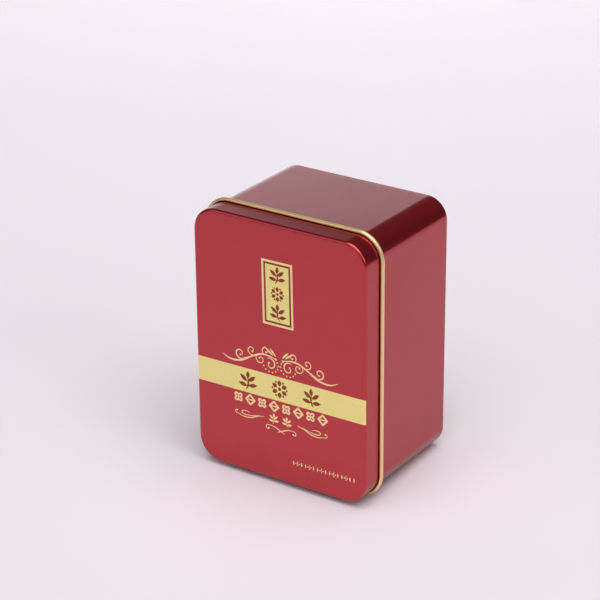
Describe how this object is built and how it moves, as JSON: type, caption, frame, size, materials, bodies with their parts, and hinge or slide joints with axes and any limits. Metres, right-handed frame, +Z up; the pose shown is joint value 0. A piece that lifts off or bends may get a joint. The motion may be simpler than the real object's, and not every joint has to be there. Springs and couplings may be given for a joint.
{
  "type": "rectangular slip-lid tin",
  "caption": "Rectangular red lacquered tea tin with rounded corners, a pull-off lid with a gold curled hem, and a recessed base.",
  "frame": {"origin": "middle of the width and of the depth, level with the lowest point of the lid's curl, as the tin stands on a short side wall", "axes": "+Z up along the tin's long side, -Y the way the lid's panel faces and the lid comes off, +Y out of the base, +X to the right seen from the lid"},
  "size_m": [0.085, 0.0616, 0.1157],
  "materials": {
    "red_lacquer": "satin metallic red lacquer on tinplate",
    "gold_lacquer": "gold lacquer on tinplate, satin",
    "gold_ink": "opaque pale gold printing ink, satin",
    "dark_ink": "dark red-brown printing ink, satin"
  },
  "bodies": {
    "body": {"body_wrap": "red_lacquer", "base_panel": "gold_lacquer"},
    "lid": {"lid": "red_lacquer"}
  },
  "joints": [
    {"name": "lid_pull_off", "type": "slide", "parent": "body", "child": "lid", "axis": [0, -1, 0], "range_m": [0, 0.075]}
  ]
}
